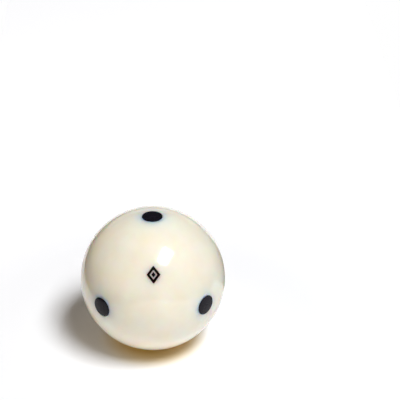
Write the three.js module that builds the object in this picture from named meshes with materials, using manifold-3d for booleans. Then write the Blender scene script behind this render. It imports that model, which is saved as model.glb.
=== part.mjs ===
// A spotted cue ball for pool. The ball is cast in ivory resin. Six black resin plugs are bonded
// into blind sockets, one on each axis, and show as round dots that are ground flush with the ball.
// A small diamond mark, cut and filled with the same black resin, sits midway between three dots.
// Millimetres, +Z up, with the origin at the ball's centre.
import * as THREE from 'three';
import { mergeVertices } from 'three/addons/utils/BufferGeometryUtils.js';
import Module from 'manifold-3d';

// Driving dimensions.
const BALL_DIAMETER = 57.15; // 2 1/4 inches, the standard pool ball
const DOT_DIAMETER = 8;
const DOT_DEPTH = 5; // from the middle of the dot's face to the plug's flat inner end
const DOT_CHAMFER = 0.5; // round the plug's inner end
const MARK_WIDTH = 5.2;
const MARK_HEIGHT = 6.9;
const MARK_STROKE = 0.9; // width of the diamond's line
const MARK_CENTRE_SHARE = 0.3; // the middle diamond's size beside the whole mark
const MARK_DEPTH = 0.6; // at the middle of the mark
const BOND_GAP = 0.1; // glue line round each plug and under each fill

// How finely the round shapes are cut into facets.
const BALL_SEGMENTS = 64;
const DOT_SEGMENTS = 36;
const DOT_FACE_RINGS = 4;

const BALL_RADIUS = BALL_DIAMETER / 2;
const DOT_RADIUS = DOT_DIAMETER / 2;
const CLEAR_OF_BALL = 1; // how far a cutting shape stands out of the ball

const OUTWARD = new THREE.Vector3(0, 0, 1); // the way every plug faces before it is turned
const DOT_DIRECTIONS = {
  top_dot: new THREE.Vector3(0, 0, 1),
  bottom_dot: new THREE.Vector3(0, 0, -1),
  front_dot: new THREE.Vector3(0, -1, 0),
  back_dot: new THREE.Vector3(0, 1, 0),
  right_dot: new THREE.Vector3(1, 0, 0),
  left_dot: new THREE.Vector3(-1, 0, 0),
};
// The mark is as far from the top dot as it is from the front one and the right one.
const MARK_DIRECTION = new THREE.Vector3(1, -1, 1).normalize();

const wasm = await Module();
wasm.setup();

// A closed three.js geometry as a solid that can be cut.
function solidFrom(geometry) {
  const bare = geometry.clone();
  bare.deleteAttribute('normal');
  bare.deleteAttribute('uv');
  const merged = mergeVertices(bare, 1e-4);
  return new wasm.Manifold(new wasm.Mesh({
    numProp: 3,
    vertProperties: merged.attributes.position.array,
    triVerts: new Uint32Array(merged.index.array),
  }));
}

function geometryFrom(solid) {
  const mesh = solid.getMesh();
  const geometry = new THREE.BufferGeometry();
  geometry.setAttribute('position', new THREE.BufferAttribute(mesh.vertProperties, 3));
  geometry.setIndex(new THREE.BufferAttribute(mesh.triVerts, 1));
  geometry.computeVertexNormals();
  return geometry;
}

// The height of the ball's surface over its centre, at a distance from the axis it is seen along.
function surfaceHeight(fromAxis) {
  return Math.sqrt(BALL_RADIUS ** 2 - fromAxis ** 2);
}

// The round blank before anything is cut into it, with its poles on Z.
function ballBlank() {
  const blank = new THREE.SphereGeometry(BALL_RADIUS, BALL_SEGMENTS, BALL_SEGMENTS / 2);
  blank.rotateX(Math.PI / 2);
  return solidFrom(blank);
}

// A plug stands on its own origin, the middle of its flat inner end, and its face is domed to the
// ball's radius.
function dotGeometry() {
  const base = BALL_RADIUS - DOT_DEPTH;
  const outline = [
    new THREE.Vector2(0, 0),
    new THREE.Vector2(DOT_RADIUS - DOT_CHAMFER, 0),
    new THREE.Vector2(DOT_RADIUS, DOT_CHAMFER),
  ];
  for (let ring = DOT_FACE_RINGS; ring >= 0; ring--) {
    const radius = DOT_RADIUS * ring / DOT_FACE_RINGS;
    outline.push(new THREE.Vector2(radius, surfaceHeight(radius) - base));
  }
  const plug = new THREE.LatheGeometry(outline, DOT_SEGMENTS);
  plug.rotateX(Math.PI / 2);
  return plug;
}

// The shape that a blind socket's drill sweeps, a bond gap larger than its plug all round.
function socketDrill(direction) {
  const radius = DOT_RADIUS + BOND_GAP;
  const length = DOT_DEPTH + BOND_GAP + CLEAR_OF_BALL;
  const drill = new THREE.CylinderGeometry(radius, radius, length, DOT_SEGMENTS);
  drill.rotateX(Math.PI / 2);
  drill.translate(0, 0, BALL_RADIUS + CLEAR_OF_BALL - length / 2);
  drill.applyQuaternion(new THREE.Quaternion().setFromUnitVectors(OUTWARD, direction));
  return solidFrom(drill);
}

// An upright diamond's corners. grow moves each side out by that distance.
function diamondCorners(width, height, grow) {
  const [a, b] = [width / 2, height / 2];
  const sideFromMiddle = a * b / Math.hypot(a, b);
  const scale = 1 + grow / sideFromMiddle;
  return [
    new THREE.Vector2(a * scale, 0),
    new THREE.Vector2(0, b * scale),
    new THREE.Vector2(-a * scale, 0),
    new THREE.Vector2(0, -b * scale),
  ];
}

// The line of the mark: a diamond with a smaller one taken out of it.
function outlineShape(grow) {
  const shape = new THREE.Shape(diamondCorners(MARK_WIDTH, MARK_HEIGHT, grow));
  const hole = diamondCorners(MARK_WIDTH, MARK_HEIGHT, -MARK_STROKE - grow);
  shape.holes.push(new THREE.Path(hole));
  return shape;
}

function centreShape(grow) {
  const width = MARK_WIDTH * MARK_CENTRE_SHARE;
  const height = MARK_HEIGHT * MARK_CENTRE_SHARE;
  return new THREE.Shape(diamondCorners(width, height, grow));
}

// Turns a shape drawn upright in the XY plane to face along the mark's direction, with its top
// towards the top dot.
function markPlacement() {
  const up = new THREE.Vector3(0, 0, 1).projectOnPlane(MARK_DIRECTION).normalize();
  const across = new THREE.Vector3().crossVectors(up, MARK_DIRECTION);
  return new THREE.Matrix4().makeBasis(across, up, MARK_DIRECTION);
}

// A straight-sided block of the shape, from a depth under the ball's surface to clear of it.
function markBlock(shape, depth) {
  const block = new THREE.ExtrudeGeometry(shape, {
    depth: depth + CLEAR_OF_BALL,
    bevelEnabled: false,
    curveSegments: 1,
  });
  block.translate(0, 0, BALL_RADIUS - depth);
  block.applyMatrix4(markPlacement());
  return solidFrom(block);
}

// The ball with every socket and both parts of the mark's groove cut into it.
function bodyGeometry(blank) {
  let body = blank;
  for (const direction of Object.values(DOT_DIRECTIONS)) {
    body = body.subtract(socketDrill(direction));
  }
  for (const shape of [outlineShape(BOND_GAP), centreShape(BOND_GAP)]) {
    body = body.subtract(markBlock(shape, MARK_DEPTH + BOND_GAP));
  }
  return geometryFrom(body);
}

// A fill ends flush with the ball's surface.
function fillGeometry(blank, shape) {
  return geometryFrom(blank.intersect(markBlock(shape, MARK_DEPTH)));
}

function ivoryResin() {
  return new THREE.MeshStandardMaterial({ color: 0xefe6d0, roughness: 0.1, metalness: 0 });
}

function blackResin() {
  return new THREE.MeshStandardMaterial({ color: 0x17151a, roughness: 0.12, metalness: 0 });
}

function addNamed(parent, name, geometry, material) {
  const mesh = new THREE.Mesh(geometry, material);
  mesh.name = name;
  parent.add(mesh);
  return mesh;
}

function buildBall() {
  const ball = new THREE.Group();
  const blank = ballBlank();
  addNamed(ball, 'ball_body', bodyGeometry(blank), ivoryResin());

  const dots = new THREE.Group();
  for (const [name, direction] of Object.entries(DOT_DIRECTIONS)) {
    const dot = addNamed(dots, name, dotGeometry(), blackResin());
    dot.position.copy(direction).multiplyScalar(BALL_RADIUS - DOT_DEPTH);
    dot.quaternion.setFromUnitVectors(OUTWARD, direction);
  }
  ball.add(dots);

  const mark = new THREE.Group();
  addNamed(mark, 'mark_outline', fillGeometry(blank, outlineShape(0)), blackResin());
  addNamed(mark, 'mark_centre', fillGeometry(blank, centreShape(0)), blackResin());
  ball.add(mark);
  return ball;
}

export default buildBall();
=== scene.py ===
"""A spotted cue ball: cast ivory resin, six black resin dots in blind sockets, one filled mark.

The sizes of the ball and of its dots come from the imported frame. The mark's size and what a
surface shows up close are set here: true round faces, the fine seam round each inlay, the polish
and the depth of the resin.
"""

import math

import bmesh
import bpy
from mathutils import Matrix, Vector


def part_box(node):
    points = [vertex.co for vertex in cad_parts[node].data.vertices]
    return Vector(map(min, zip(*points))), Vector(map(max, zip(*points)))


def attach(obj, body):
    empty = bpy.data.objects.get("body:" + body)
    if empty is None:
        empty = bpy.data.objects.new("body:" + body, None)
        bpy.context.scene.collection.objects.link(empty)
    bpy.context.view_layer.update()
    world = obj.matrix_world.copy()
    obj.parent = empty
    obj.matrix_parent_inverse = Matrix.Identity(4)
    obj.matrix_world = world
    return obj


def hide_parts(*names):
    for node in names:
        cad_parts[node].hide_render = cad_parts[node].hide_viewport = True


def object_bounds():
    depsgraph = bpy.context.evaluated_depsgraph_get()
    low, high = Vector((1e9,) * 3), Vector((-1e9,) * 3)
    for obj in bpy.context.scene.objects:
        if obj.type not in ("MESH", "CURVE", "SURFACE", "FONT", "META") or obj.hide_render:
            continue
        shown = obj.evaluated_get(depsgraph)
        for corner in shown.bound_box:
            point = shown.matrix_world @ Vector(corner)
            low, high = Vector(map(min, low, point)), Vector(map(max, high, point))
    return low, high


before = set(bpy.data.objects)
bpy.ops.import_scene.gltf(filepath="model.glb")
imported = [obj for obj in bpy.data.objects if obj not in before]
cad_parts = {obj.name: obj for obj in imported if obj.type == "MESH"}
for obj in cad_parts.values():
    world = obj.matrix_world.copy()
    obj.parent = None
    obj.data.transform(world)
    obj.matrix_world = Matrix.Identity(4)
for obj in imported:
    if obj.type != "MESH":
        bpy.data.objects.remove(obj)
cad_low, cad_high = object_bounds()

MM = 0.001

# Sizes of the ball and of a dot, from the frame.
RADIUS = (cad_high.z - cad_low.z) / 2
dot_low, dot_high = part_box("top_dot")
DOT_RADIUS = (dot_high.x - dot_low.x) / 2
DOT_DEPTH = dot_high.z - dot_low.z

# The ways that the six dots face.
DOT_WAYS = {
    "top_dot": Vector((0, 0, 1)),
    "bottom_dot": Vector((0, 0, -1)),
    "front_dot": Vector((0, -1, 0)),
    "back_dot": Vector((0, 1, 0)),
    "right_dot": Vector((1, 0, 0)),
    "left_dot": Vector((-1, 0, 0)),
}

# How the inlays meet the ball.
SEAM = 0.012 * MM  # the glue line between a plug and its socket
LIP = 0.035 * MM  # the rounding that polishing leaves on both edges of a seam
LIP_STEPS = 3
SUPPORT = 0.06 * MM  # width of the ring that keeps the ball's face true right up to a lip
DOT_CHAMFER = 0.5 * MM

# The mark: an open diamond with a small solid one in it, midway between three dots.
MARK_WAY = Vector((1, -1, 1)).normalized()
MARK_WIDTH = 5.2 * MM
MARK_HEIGHT = 6.9 * MM
MARK_STROKE = 0.9 * MM
MARK_CENTRE_SHARE = 0.3
MARK_CORNER = 0.25 * MM  # the cutter's own radius, left in each corner
MARK_DEPTH = 0.6 * MM
MARK_SINK = 0.015 * MM  # the fill shrinks a little as it cures
MARK_REACH = MARK_HEIGHT * 0.62  # from the middle of the mark to just past its points

# How fine the round faces are cut.
BALL_SUBDIVISIONS = 7
LOCAL_CUTS = 3  # further cuts of each edge where an inlay meets the ball
FINE_WITHIN = 0.7 * MM  # how far the finer faces reach inside a dot's edge
FINE_BEYOND = 0.6 * MM  # and outside it
SOCKET_REACH = DOT_RADIUS * 1.5  # the part of the ball's face that a socket's cuts look at
DOT_STEPS = 120
DOT_FACE_RINGS = 26
CORNER_STEPS = 5
SHARP_ANGLE = 40  # degrees between two faces, past which their edge stays sharp
ON_THE_LINE = 1e-9  # a point this close to a cut, in metres, is on it
SAME_POINT = 1e-7  # points this close together, in metres, are joined

# The ivory's two shades, where the resin is clearer and where it is milkier.
IVORY_DEEP = "#F4EBD7"
IVORY_PALE = "#F8F1E1"

# Most of a noise's values lie between these two.
NOISE_LOW = 0.3
NOISE_HIGH = 0.7

# The camera looks down at the ball from between two dots. Angles are in degrees, and the lens
# and its sensor in millimetres.
CAMERA_AZIMUTH = 44.54
CAMERA_ELEVATION = 32.99
CAMERA_ROLL = -0.78
CAMERA_DISTANCE = 611.6 * MM
CAMERA_LENS = 138.5
CAMERA_SENSOR = 36
BALL_LEFT_OF_AIM = 1.749
BALL_BELOW_AIM = 2.891

# The board's reach from the ball, as the camera sees it, in metres.
FLOOR_LEFT = 0.085
FLOOR_RIGHT = 0.13
FLOOR_BACK = 0.6
FLOOR_FRONT = 0.6

# The black card: the place of its near edge beside and behind the ball, and its size.
FLAG_RIGHT = 0.036
FLAG_BACK = 0.032
FLAG_WIDTH = 0.25
FLAG_HEIGHT = 0.16

# The key light, in degrees, metres and watts.
KEY_AZIMUTH = 86
KEY_ELEVATION = 61.5
KEY_LONG_WAY = 29  # azimuth that its long side points along
KEY_DISTANCE = 2.5
KEY_LENGTH = 1.10
KEY_WIDTH = 0.70
KEY_COLOUR = "#F9FBFF"
KEY_POWER = 68

# The board's paint, and a painted golden light in that paint where it lies near the ball,
# standing in for the warm light that comes down through the resin.
BOARD_WHITE = "#FCFCFC"
BOARD_PAINTED_GOLD = "#F8D88C"
PAINTED_GOLD_NEAR = 9 * MM
PAINTED_GOLD_FAR = 24 * MM

# A painted glow: the board glows golden under the ball, standing in for the light that comes down
# through the resin and spreads on the board there.
PAINTED_GLOW_RIGHT = 6 * MM
PAINTED_GLOW_NEAR = 3 * MM
PAINTED_GLOW_FAR = 14 * MM
PAINTED_GLOW_COLOUR = "#FFA040"
PAINTED_GLOW_STRENGTH = 0.09

# The light through the board, which keeps its far parts clean white.
BACKLIGHT_NEAR = 60 * MM
BACKLIGHT_FAR = 130 * MM
BACKLIGHT_STRENGTH = 0.15

# What the ball sees of the room past the board and the lights.
ROOM_DIM = (0.02, 0.02, 0.02, 1)

# The soft panels, all this far away: (name, azimuth from the camera's, elevation, width, height,
# colour, power).
PANEL_DISTANCE = 2.0
PANELS = (
    ("front_left_panel", -60, 13, 2.3, 1.2, "#FFF0DE", 6.8),
    ("back_left_panel", -120, 13, 2.3, 1.2, "#FFDFB8", 3.9),
    ("back_strip", 180, 6, 2.3, 0.42, "#FFF3EA", 2.1),
    ("ceiling_panel", 0, 90, 2.1, 2.1, "#FFF8F0", 3.4),
)


# --- ways round the ball --------------------------------------------------------------------


def from_ball(azimuth, elevation):
    """The way from the ball to a place round it. Azimuth 0 is on -Y and 90 on +X."""
    a, e = math.radians(azimuth), math.radians(elevation)
    return Vector((math.sin(a) * math.cos(e), -math.cos(a) * math.cos(e), math.sin(e)))


# The camera's own ways along the floor.
TO_CAMERA = from_ball(CAMERA_AZIMUTH, 0)
TO_RIGHT = from_ball(CAMERA_AZIMUTH + 90, 0)
UPWARDS = Vector((0, 0, 1))


# --- shapes ---------------------------------------------------------------------------------


def piece_from(bm, name):
    """A finished piece, smooth apart from its real corners."""
    bmesh.ops.recalc_face_normals(bm, faces=bm.faces[:])
    mesh = bpy.data.meshes.new(name)
    bm.to_mesh(mesh)
    bm.free()
    mesh.shade_smooth()
    mesh.set_sharp_from_angle(angle=math.radians(SHARP_ANGLE))
    piece = bpy.data.objects.new(name, mesh)
    bpy.context.scene.collection.objects.link(piece)
    return piece


def lip_profile(radius, height, outward):
    """(radius, height) points that round an edge from the ball's face into a wall. outward is 1
    where the wall stands at a larger radius, as a plug's does, and -1 where it stands at a
    smaller one, as a socket's does."""
    points = []
    for step in range(1, LIP_STEPS + 1):
        turn = math.radians(90) * step / LIP_STEPS
        drop = LIP * (1 - math.cos(turn))
        points.append((radius + outward * LIP * math.sin(turn), height - drop))
    return points


def face_height(from_axis):
    """How high the ball's face is over its centre, at a distance from the axis seen along."""
    return math.sqrt(RADIUS ** 2 - from_axis ** 2)


def refine_near(ball, way, nearest, furthest):
    """Cuts the ball's faces finer in a ring round a place on it."""
    def in_ring(edge):
        middle = (edge.verts[0].co + edge.verts[1].co) / 2
        along = middle.dot(way)
        return along > 0 and nearest < (middle - way * along).length < furthest

    ring = [edge for edge in ball.edges if in_ring(edge)]
    bmesh.ops.subdivide_edges(ball, edges=ring, cuts=LOCAL_CUTS, use_grid_fill=True)


def round_off(ball, radius):
    """Puts every point of a blank that nothing is cut into yet on the true sphere."""
    for vert in ball.verts:
        vert.co = vert.co.normalized() * radius


def patch_near(ball, way, reach):
    """The ball's faces near a place on it, with their edges and corners."""
    place = way * RADIUS
    faces = [face for face in ball.faces if (face.verts[0].co - place).length < reach]
    edges = {edge for face in faces for edge in face.edges}
    verts = {vert for face in faces for vert in face.verts}
    return [*faces, *edges, *verts]


def only(kind, parts):
    """The parts that are of one kind and still there after a cut."""
    return [part for part in parts if part.is_valid and isinstance(part, kind)]


def cut_circle(ball, patch, way, radius, clear):
    """Cuts a true circle into the ball's face, and returns its edges and the patch."""
    cut = bmesh.ops.bisect_plane(
        ball, geom=patch, dist=ON_THE_LINE, plane_co=way * face_height(radius), plane_no=way,
        clear_outer=clear,
    )
    return only(bmesh.types.BMEdge, cut["geom_cut"]), cut["geom"]


def draw_in(ball, rim, way, radius, height):
    """Extrudes a rim to a new radius and height round an axis, and returns the new rim."""
    grown = bmesh.ops.extrude_edge_only(ball, edges=rim)["geom"]
    for vert in only(bmesh.types.BMVert, grown):
        across = vert.co - way * vert.co.dot(way)
        vert.co = way * height + across.normalized() * radius
    return only(bmesh.types.BMEdge, grown)


def drill_socket(ball, way):
    """A blind socket with a softened mouth and a flat floor."""
    mouth = DOT_RADIUS + SEAM + LIP
    patch = patch_near(ball, way, SOCKET_REACH)
    patch = cut_circle(ball, patch, way, mouth + SUPPORT, clear=False)[1]
    rim = cut_circle(ball, patch, way, mouth, clear=True)[0]
    for radius, height in lip_profile(mouth, face_height(mouth), -1):
        rim = draw_in(ball, rim, way, radius, height)
    floor = RADIUS - DOT_DEPTH - SEAM
    wall = DOT_RADIUS + SEAM
    rim = draw_in(ball, rim, way, wall, floor + DOT_CHAMFER)
    rim = draw_in(ball, rim, way, wall - DOT_CHAMFER, floor)
    bmesh.ops.holes_fill(ball, edges=rim)


def mark_axes():
    """The mark's own across, up and out: it stands upright under the top dot."""
    up = (UPWARDS - MARK_WAY * MARK_WAY.z).normalized()
    return up.cross(MARK_WAY), up, MARK_WAY


def diamond(width, height, grow, corner):
    """A diamond's outline with round corners, as points in the mark's plane. grow moves each
    side out by that distance, and the corners' radius with it."""
    a, b = width / 2, height / 2
    side = math.hypot(a, b)
    middle_to_side = a * b / side
    inner = 1 - corner / middle_to_side  # the diamond that the corner circles are centred on
    lean = math.atan2(a, b)  # between a side's outward normal and the across axis
    points = []
    for quarter in range(4):
        point = [(a, 0), (0, b), (-a, 0), (0, -b)][quarter]
        facing = quarter * math.pi / 2
        half_turn = lean if quarter % 2 == 0 else math.pi / 2 - lean
        for step in range(CORNER_STEPS + 1):
            turn = facing - half_turn + 2 * half_turn * step / CORNER_STEPS
            points.append((
                point[0] * inner + (corner + grow) * math.cos(turn),
                point[1] * inner + (corner + grow) * math.sin(turn),
            ))
    return points


def side_planes(outline):
    """(point, outward normal) of the plane that stands on each side of an outline."""
    across, up, out = mark_axes()
    planes = []
    for here, there in zip(outline, outline[1:] + outline[:1]):
        start = across * here[0] + up * here[1]
        along = across * there[0] + up * there[1] - start
        planes.append((start, along.cross(out).normalized()))
    return planes


def inside(planes, point):
    """True if a point of the ball's face lies within an outline's side planes."""
    return all((point - start).dot(normal) < ON_THE_LINE for start, normal in planes)


def mark_outlines(grow):
    """The outlines that bound the mark's two parts: line outside, line inside, middle."""
    line_outside = diamond(MARK_WIDTH, MARK_HEIGHT, grow, MARK_CORNER)
    middle_to_side = MARK_WIDTH * MARK_HEIGHT / 2 / math.hypot(MARK_WIDTH, MARK_HEIGHT)
    inside_share = 1 - MARK_STROKE / middle_to_side
    line_inside = diamond(
        MARK_WIDTH * inside_share, MARK_HEIGHT * inside_share, -grow, MARK_CORNER,
    )
    middle = diamond(
        MARK_WIDTH * MARK_CENTRE_SHARE, MARK_HEIGHT * MARK_CENTRE_SHARE, grow, MARK_CORNER / 2,
    )
    return line_outside, line_inside, middle


def cut_outline(ball, outline):
    """Cuts a mark's outline into the ball's face."""
    patch = patch_near(ball, MARK_WAY, MARK_REACH)
    for start, normal in side_planes(outline):
        patch = bmesh.ops.bisect_plane(
            ball, geom=patch, dist=ON_THE_LINE, plane_co=start, plane_no=normal,
        )["geom"]


def faces_between(ball, bounds, hole):
    """The ball's faces inside one outline of the mark and outside another."""
    around = side_planes(bounds)
    within = side_planes(hole) if hole else None
    return [
        face for face in only(bmesh.types.BMFace, patch_near(ball, MARK_WAY, MARK_REACH))
        if inside(around, face.calc_center_median())
        and not (within and inside(within, face.calc_center_median()))
    ]


def sink(ball, faces, depth, keep):
    """Extrudes faces of the mark inwards. keep leaves the face that they start from."""
    sunk = bmesh.ops.extrude_face_region(ball, geom=faces, use_keep_orig=keep)["geom"]
    if not keep:
        bmesh.ops.delete(ball, geom=faces, context="FACES")
    bmesh.ops.translate(ball, verts=only(bmesh.types.BMVert, sunk), vec=-MARK_WAY * depth)


def engrave_mark(ball):
    """The mark's groove: an open diamond and a small solid one."""
    outside, within, middle = mark_outlines(SEAM)
    for outline in (outside, within, middle):
        cut_outline(ball, outline)
    for bounds, hole in ((outside, within), (middle, None)):
        sink(ball, faces_between(ball, bounds, hole), MARK_DEPTH + SEAM, keep=False)


def make_ball():
    """The cast ball. Its face is refined and rounded off before anything is cut into it."""
    ball = bmesh.new()
    bmesh.ops.create_icosphere(ball, subdivisions=BALL_SUBDIVISIONS, radius=RADIUS)
    for way in DOT_WAYS.values():
        refine_near(ball, way, DOT_RADIUS - FINE_WITHIN, DOT_RADIUS + FINE_BEYOND)
    refine_near(ball, MARK_WAY, -1, MARK_REACH)
    round_off(ball, RADIUS)
    for way in DOT_WAYS.values():
        drill_socket(ball, way)
    engrave_mark(ball)
    return piece_from(ball, "ivory_ball")


def make_dot(name, way):
    """A plug turned from black rod: its face ground with the ball, its inner end chamfered."""
    base = RADIUS - DOT_DEPTH
    shoulder = DOT_RADIUS - LIP
    profile = [(0, base), (DOT_RADIUS - DOT_CHAMFER, base), (DOT_RADIUS, base + DOT_CHAMFER)]
    profile += reversed(lip_profile(shoulder, face_height(shoulder), 1))
    for ring in range(DOT_FACE_RINGS, -1, -1):
        radius = shoulder * ring / DOT_FACE_RINGS
        profile.append((radius, face_height(radius)))
    dot = bmesh.new()
    verts = [dot.verts.new((radius, 0, height)) for radius, height in profile]
    edges = [dot.edges.new(pair) for pair in zip(verts, verts[1:])]
    bmesh.ops.spin(
        dot, geom=verts + edges, cent=(0, 0, 0), axis=(0, 0, 1), dvec=(0, 0, 0),
        angle=math.tau, steps=DOT_STEPS, use_merge=True,
    )
    bmesh.ops.remove_doubles(dot, verts=dot.verts[:], dist=SAME_POINT)
    turn = UPWARDS.rotation_difference(way).to_matrix().to_4x4()
    bmesh.ops.transform(dot, matrix=turn, verts=dot.verts[:])
    return piece_from(dot, name)


def keep_faces(bm, faces):
    """Deletes every face but these."""
    kept = set(faces)
    others = [face for face in bm.faces if face not in kept]
    bmesh.ops.delete(bm, geom=others, context="FACES")


def make_fill(name, bounds, hole):
    """A fill of the mark, cut from a ball's face, a hair below the real one."""
    fill = bmesh.new()
    bmesh.ops.create_icosphere(fill, subdivisions=BALL_SUBDIVISIONS, radius=RADIUS)
    keep_faces(fill, only(bmesh.types.BMFace, patch_near(fill, MARK_WAY, MARK_REACH)))
    refine_near(fill, MARK_WAY, -1, MARK_REACH)
    round_off(fill, RADIUS - MARK_SINK)
    for outline in filter(None, (bounds, hole)):
        cut_outline(fill, outline)
    keep_faces(fill, faces_between(fill, bounds, hole))
    sink(fill, fill.faces[:], MARK_DEPTH - MARK_SINK, keep=True)
    return piece_from(fill, name)


# --- materials ------------------------------------------------------------------------------


def from_hex(code):
    """A linear colour from an sRGB hex value."""
    channels = [int(code[i:i + 2], 16) / 255 for i in (1, 3, 5)]
    linear = [c / 12.92 if c <= 0.04045 else ((c + 0.055) / 1.055) ** 2.4 for c in channels]
    return (*linear, 1)


def add_node(tree, kind, settings=(), values=(), **links):
    """A node with its settings, its inputs' values, and its inputs linked by name to sockets."""
    node = tree.nodes.new(kind)
    for name, value in dict(settings).items():
        setattr(node, name, value)
    for name, value in dict(values).items():
        node.inputs[name].default_value = value
    for name, socket in links.items():
        tree.links.new(socket, node.inputs[name.replace("_", " ")])
    return node


def new_material(name, values):
    """A material with its output and a shader that has these values."""
    material = bpy.data.materials.new(name)
    material.use_nodes = True
    tree = material.node_tree
    tree.nodes.clear()
    shader = add_node(tree, "ShaderNodeBsdfPrincipled", values=values)
    add_node(tree, "ShaderNodeOutputMaterial", Surface=shader.outputs["BSDF"])
    return material, tree, shader


def noise(tree, size, detail, seed):
    """Noise whose blotches are about as wide as size, in metres. The seed moves it along."""
    place = add_node(tree, "ShaderNodeTexCoord").outputs["Object"]
    moved = add_node(
        tree, "ShaderNodeMapping", values={"Location": (seed, -seed, seed / 2)}, Vector=place,
    )
    grain = add_node(
        tree, "ShaderNodeTexNoise", values={"Scale": 1 / size, "Detail": detail},
        Vector=moved.outputs["Vector"],
    )
    return grain.outputs["Fac"]


def spread(tree, value, low, high):
    """Stretches the middle of a noise over low to high."""
    scaled = add_node(
        tree, "ShaderNodeMapRange",
        values={"From Min": NOISE_LOW, "From Max": NOISE_HIGH, "To Min": low, "To Max": high},
        Value=value,
    )
    return scaled.outputs["Result"]


def tint(tree, factor, low, high):
    """A colour between two hex colours, by the value of a noise."""
    ramp = add_node(tree, "ShaderNodeValToRGB", Fac=factor)
    stops = ramp.color_ramp.elements
    for stop, position, code in zip(stops, (NOISE_LOW, NOISE_HIGH), (low, high)):
        stop.position = position
        stop.color = from_hex(code)
    return ramp.outputs["Color"]


def ivory_phenolic():
    """Phenolic resin, cast and tumble-polished. Light goes deep into it and comes out creamier,
    so that the shaded side is warm and each black inlay has a faint cool rim."""
    material, tree, shader = new_material("cast_phenolic_resin_ivory_polished", {
        "IOR": 1.6,
        "Subsurface Weight": 1.0,
        "Subsurface Radius": (1.0, 0.68, 0.40),
        "Subsurface Scale": 8 * MM,
    })
    # Where the pour folded over itself in the mould.
    clouds = noise(tree, size=9 * MM, detail=2, seed=0.31)
    # What the tumbling barrel leaves.
    haze = noise(tree, size=1.6 * MM, detail=3, seed=0.73)
    # A trace of orange peel, drawn coarser than the real one so that it shows.
    ripple = noise(tree, size=0.7 * MM, detail=1, seed=0.12)
    tree.links.new(tint(tree, clouds, IVORY_DEEP, IVORY_PALE), shader.inputs["Base Color"])
    tree.links.new(spread(tree, haze, 0.09, 0.14), shader.inputs["Roughness"])
    bump = add_node(
        tree, "ShaderNodeBump", values={"Strength": 0.25, "Distance": 0.0012 * MM}, Height=ripple,
    )
    tree.links.new(bump.outputs["Normal"], shader.inputs["Normal"])
    return material


def black_phenolic():
    """Rod of black phenolic resin, ground flush and polished with the ball: a cool near-black
    that mirrors less than the ivory round it."""
    material, tree, shader = new_material("black_phenolic_resin_polished", {
        "IOR": 1.5,
        "Specular IOR Level": 0.12,
    })
    # Clumps of carbon black in the resin.
    filler = noise(tree, size=1.1 * MM, detail=3, seed=0.47)
    haze = noise(tree, size=0.8 * MM, detail=3, seed=0.93)
    tree.links.new(tint(tree, filler, "#121116", "#1D1921"), shader.inputs["Base Color"])
    tree.links.new(spread(tree, haze, 0.10, 0.18), shader.inputs["Roughness"])
    return material


def black_fill():
    """Black resin, wiped into the mark's groove and polished back: a warmer black, with a
    softer shine than the plugs have."""
    material, tree, shader = new_material("black_resin_groove_fill_polished", {
        "IOR": 1.5,
        "Specular IOR Level": 0.12,
    })
    streaks = noise(tree, size=0.5 * MM, detail=3, seed=0.21)
    haze = noise(tree, size=0.4 * MM, detail=2, seed=0.63)
    tree.links.new(tint(tree, streaks, "#0D0706", "#150D0A"), shader.inputs["Base Color"])
    tree.links.new(spread(tree, haze, 0.18, 0.30), shader.inputs["Roughness"])
    return material


def fade(tree, vector, near, far, start, end):
    """A value that goes smoothly from start to end as a vector's length goes from near to far."""
    length = add_node(tree, "ShaderNodeVectorMath", {"operation": "LENGTH"}, Vector=vector)
    faded = add_node(
        tree, "ShaderNodeMapRange", {"interpolation_type": "SMOOTHSTEP"},
        {"From Min": near, "From Max": far, "To Min": start, "To Max": end},
        Value=length.outputs["Value"],
    )
    return faded.outputs["Result"]


def mix_colours(tree, factor, start, end):
    """A colour part of the way from one hex colour to another."""
    mixed = add_node(
        tree, "ShaderNodeMix", {"data_type": "RGBA"}, {"A": from_hex(start), "B": from_hex(end)},
        Factor=factor,
    )
    return mixed.outputs["Result"]


def white_sheet():
    """Matt white board. Under the ball it has painted golden light in its colour and a painted
    glow, both standing in for the light that has come down through the resin. Far from the ball
    it goes to clean white."""
    material, tree, shader = new_material("matt_white_board_with_painted_light", {
        "Roughness": 0.9,
        "Specular IOR Level": 0.0,
    })
    place = add_node(tree, "ShaderNodeTexCoord").outputs["Object"]
    flat = add_node(
        tree, "ShaderNodeVectorMath", {"operation": "MULTIPLY"}, {1: (1, 1, 0)}, Vector=place,
    ).outputs["Vector"]
    from_painted_glow = add_node(
        tree, "ShaderNodeVectorMath", {"operation": "SUBTRACT"}, {1: TO_RIGHT * PAINTED_GLOW_RIGHT},
        Vector=flat,
    ).outputs["Vector"]
    # Painted golden light: the board's colour turns golden near the ball.
    painted_gold = fade(tree, flat, PAINTED_GOLD_NEAR, PAINTED_GOLD_FAR, 1, 0)
    # Painted glow: golden emission on the board under the ball, not a lamp.
    painted_glow = fade(tree, from_painted_glow, PAINTED_GLOW_NEAR, PAINTED_GLOW_FAR, 1, 0)
    backlight = fade(tree, flat, BACKLIGHT_NEAR, BACKLIGHT_FAR, 0, BACKLIGHT_STRENGTH)
    strength = add_node(
        tree, "ShaderNodeMath", {"operation": "MULTIPLY_ADD"}, {1: PAINTED_GLOW_STRENGTH}, Value=painted_glow,
    )
    tree.links.new(backlight, strength.inputs[2])
    for name, socket in (
        ("Base Color", mix_colours(tree, painted_gold, BOARD_WHITE, BOARD_PAINTED_GOLD)),
        ("Emission Color", mix_colours(tree, painted_glow, "#FFFFFF", PAINTED_GLOW_COLOUR)),
        ("Emission Strength", strength.outputs["Value"]),
    ):
        tree.links.new(socket, shader.inputs[name])
    return material


# --- the studio -----------------------------------------------------------------------------


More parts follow.
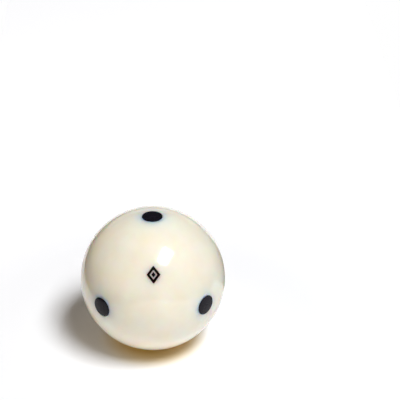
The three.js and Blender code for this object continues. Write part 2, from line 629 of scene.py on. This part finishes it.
def flat_sheet(name, across, along, width, length, middle):
    """A flat sheet. middle is where its middle lies, as metres across, along and outwards from
    the point where the ball touches the board."""
    sheet = bmesh.new()
    bmesh.ops.create_grid(sheet, x_segments=1, y_segments=1, size=0.5)
    ways = Matrix((across, along, across.cross(along))).transposed().to_4x4()
    contact = Matrix.Translation((0, 0, cad_low.z))
    size = Matrix.Diagonal((width, length, 1, 1))
    place = contact @ ways @ Matrix.Translation(middle) @ size
    bmesh.ops.transform(sheet, matrix=place, verts=sheet.verts[:])
    return piece_from(sheet, name)


def lay_floor():
    """A white board that the ball stands on. It ends a short way to the ball's left, where the
    ball mirrors the dim room past its edge."""
    middle = Vector((FLOOR_RIGHT - FLOOR_LEFT, FLOOR_BACK - FLOOR_FRONT, 0)) / 2
    board = flat_sheet(
        "floor_board", TO_RIGHT, -TO_CAMERA, FLOOR_LEFT + FLOOR_RIGHT, FLOOR_FRONT + FLOOR_BACK,
        middle,
    )
    board.data.materials.append(white_sheet())


def stand_flag():
    """A black card behind the ball on its right. It shows only as a mirror image, which keeps
    that edge of the ball from glaring."""
    middle = Vector((FLAG_RIGHT + FLAG_WIDTH / 2, FLAG_HEIGHT / 2, -FLAG_BACK))
    flag = flat_sheet("black_flag", TO_RIGHT, UPWARDS, FLAG_WIDTH, FLAG_HEIGHT, middle)
    flag.data.materials.append(new_material("black_card", {
        "Base Color": from_hex("#1A1A1C"),
        "Roughness": 0.9,
        "Specular IOR Level": 0.0,
    })[0])
    flag.visible_camera = False
    flag.visible_shadow = False
    flag.visible_diffuse = False


def hang_light(name, place, turn, size, colour, power):
    """A flat rectangular light that shines down its own Z. The camera doesn't see it."""
    data = bpy.data.lights.new(name, "AREA")
    data.energy = power
    data.color = from_hex(colour)[:3]
    data.shape = "RECTANGLE"
    data.size, data.size_y = size
    light = bpy.data.objects.new(name, data)
    bpy.context.scene.collection.objects.link(light)
    light.location = place
    light.rotation_mode = "QUATERNION"
    light.rotation_quaternion = turn
    light.visible_camera = False


def hang_key():
    """The key: a softbox high on the camera's right, longer towards the camera than across."""
    away = from_ball(KEY_AZIMUTH, KEY_ELEVATION)
    across = away.cross(from_ball(KEY_LONG_WAY, 0)).normalized()
    turn = Matrix((across.cross(away), across, away)).transposed().to_quaternion()
    size = (KEY_LENGTH, KEY_WIDTH)
    hang_light("key_softbox", away * KEY_DISTANCE, turn, size, KEY_COLOUR, KEY_POWER)


def hang_panels():
    """Large soft panels, low on the left and at the back, and one overhead."""
    for name, azimuth, elevation, width, height, colour, power in PANELS:
        away = from_ball(CAMERA_AZIMUTH + azimuth, elevation)
        turn = away.to_track_quat("Z", "Y")
        hang_light(name, away * PANEL_DISTANCE, turn, (width, height), colour, power)


def light_room():
    """A dim room. Past the board the camera itself sees white."""
    world = bpy.data.worlds.new("studio")
    bpy.context.scene.world = world
    world.use_nodes = True
    tree = world.node_tree
    tree.nodes.clear()
    dim = add_node(tree, "ShaderNodeBackground", values={"Color": ROOM_DIM})
    white = add_node(tree, "ShaderNodeBackground", values={"Color": (1, 1, 1, 1)})
    seen = add_node(tree, "ShaderNodeLightPath").outputs["Is Camera Ray"]
    both = add_node(tree, "ShaderNodeMixShader")
    tree.links.new(seen, both.inputs[0])
    tree.links.new(dim.outputs["Background"], both.inputs[1])
    tree.links.new(white.outputs["Background"], both.inputs[2])
    add_node(tree, "ShaderNodeOutputWorld", Surface=both.outputs["Shader"])


def set_camera():
    """The camera looks down at the ball, which lies left of its aim and below it."""
    data = bpy.data.cameras.new("camera")
    data.sensor_width = CAMERA_SENSOR
    data.lens = CAMERA_LENS
    camera = bpy.data.objects.new("camera", data)
    bpy.context.scene.collection.objects.link(camera)
    back = from_ball(CAMERA_AZIMUTH, CAMERA_ELEVATION)
    left, below = math.radians(BALL_LEFT_OF_AIM), math.radians(BALL_BELOW_AIM)
    to_ball = Vector((-math.tan(left), -math.tan(below), -1))
    aim = to_ball.rotation_difference(Vector((0, 0, -1))).to_matrix()
    roll = Matrix.Rotation(math.radians(CAMERA_ROLL), 3, "Z")
    upright = back.to_track_quat("Z", "Y").to_matrix()
    camera.location = back * CAMERA_DISTANCE
    camera.rotation_mode = "QUATERNION"
    camera.rotation_quaternion = (upright @ roll @ aim).to_quaternion()
    bpy.context.scene.camera = camera


# --- the object -----------------------------------------------------------------------------

set_camera()
hang_key()
hang_panels()
light_room()
lay_floor()
stand_flag()

ivory = ivory_phenolic()
black = black_phenolic()
fill_black = black_fill()

ball = make_ball()
ball.data.materials.append(ivory)
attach(ball, "root")
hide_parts("ball_body")

for name, way in DOT_WAYS.items():
    dot = make_dot(name + "_plug", way)
    dot.data.materials.append(black)
    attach(dot, "root")
    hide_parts(name)

line_outside, line_inside, middle = mark_outlines(0)
for name, node, bounds, hole in (
    ("mark_line_fill", "mark_outline", line_outside, line_inside),
    ("mark_middle_fill", "mark_centre", middle, None),
):
    fill = make_fill(name, bounds, hole)
    fill.data.materials.append(fill_black)
    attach(fill, "root")
    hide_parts(node)

bpy.context.scene.view_settings.view_transform = "Standard"
